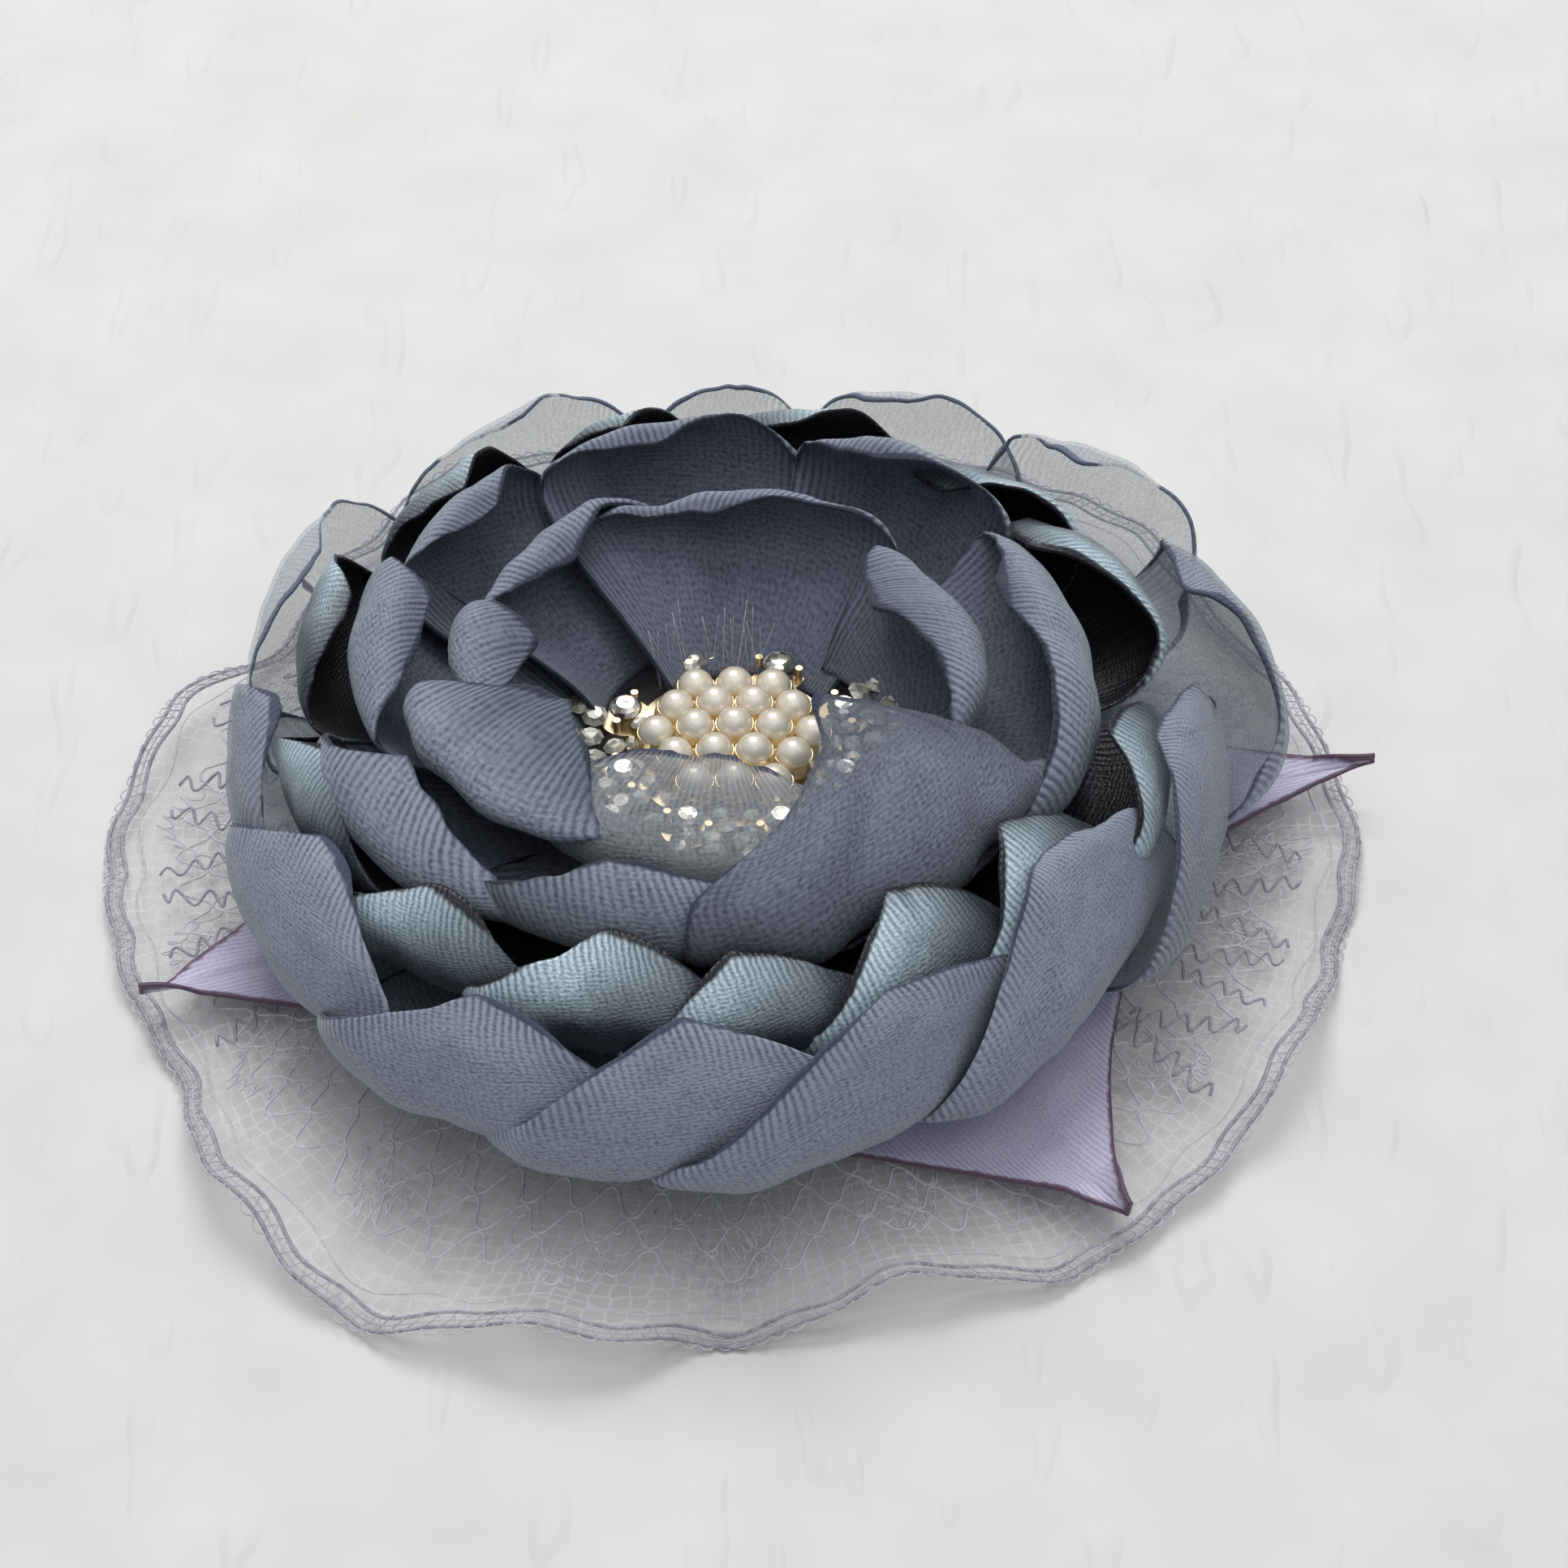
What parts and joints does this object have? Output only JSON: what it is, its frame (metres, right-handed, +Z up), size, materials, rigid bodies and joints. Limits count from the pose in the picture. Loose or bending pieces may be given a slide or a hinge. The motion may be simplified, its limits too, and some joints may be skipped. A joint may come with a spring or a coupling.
{
  "type": "flower lapel pin",
  "caption": "Fabric flower brooch on its back: cupped petals around a pearl and crystal setting, over pointed leaves and a lace ruffle, worn with a pin behind.",
  "frame": {"origin": "centre of the bounding box in plan, on the surface that the brooch lies on", "axes": "+Z up out of the flower's front, +X to the picture's right, +Y away from the viewer"},
  "size_m": [0.1002, 0.101, 0.0244],
  "materials": {
    "felt": "matt felt",
    "steel": "plated steel",
    "lace": "sheer net lace",
    "leaf_satin": "soft satin",
    "outer_organza": "ribbed organza",
    "navy_satin": "glossy satin",
    "inner_organza": "ribbed organza",
    "sheer_organza": "sheer organza",
    "gold": "pale gold plate",
    "pearl": "pearl lustre",
    "crystal": "clear cut"
  },
  "bodies": {
    "root": {"felt_back": "felt", "pin_back": "steel", "lace_ruffle": "lace", "leaf_1": "leaf_satin", "leaf_2": "leaf_satin", "leaf_3": "leaf_satin", "leaf_4": "leaf_satin", "leaf_5": "leaf_satin", "outer_1": "outer_organza", "outer_2": "outer_organza", "outer_3": "outer_organza", "outer_4": "outer_organza", "outer_5": "outer_organza", "outer_6": "outer_organza", "outer_7": "outer_organza", "outer_8": "outer_organza", "outer_9": "outer_organza", "outer_10": "outer_organza", "outer_11": "outer_organza", "outer_12": "outer_organza", "outer_13": "outer_organza", "satin_1": "navy_satin", "satin_2": "navy_satin", "satin_3": "navy_satin", "satin_4": "navy_satin", "satin_5": "navy_satin", "satin_6": "navy_satin", "satin_7": "navy_satin", "satin_8": "navy_satin", "satin_9": "navy_satin", "satin_10": "navy_satin", "satin_11": "navy_satin", "satin_12": "navy_satin", "satin_13": "navy_satin", "inner_1": "inner_organza", "inner_2": "inner_organza", "inner_3": "inner_organza", "inner_4": "inner_organza", "inner_5": "inner_organza", "inner_6": "inner_organza", "inner_7": "inner_organza", "inner_8": "inner_organza", "centre_1": "inner_organza", "centre_2": "inner_organza", "centre_3": "inner_organza", "centre_4": "inner_organza", "centre_5": "inner_organza", "sheer_1": "sheer_organza", "sheer_2": "sheer_organza", "gold_setting": "gold", "pearls": "pearl", "crystals": "crystal"}
  },
  "joints": []
}
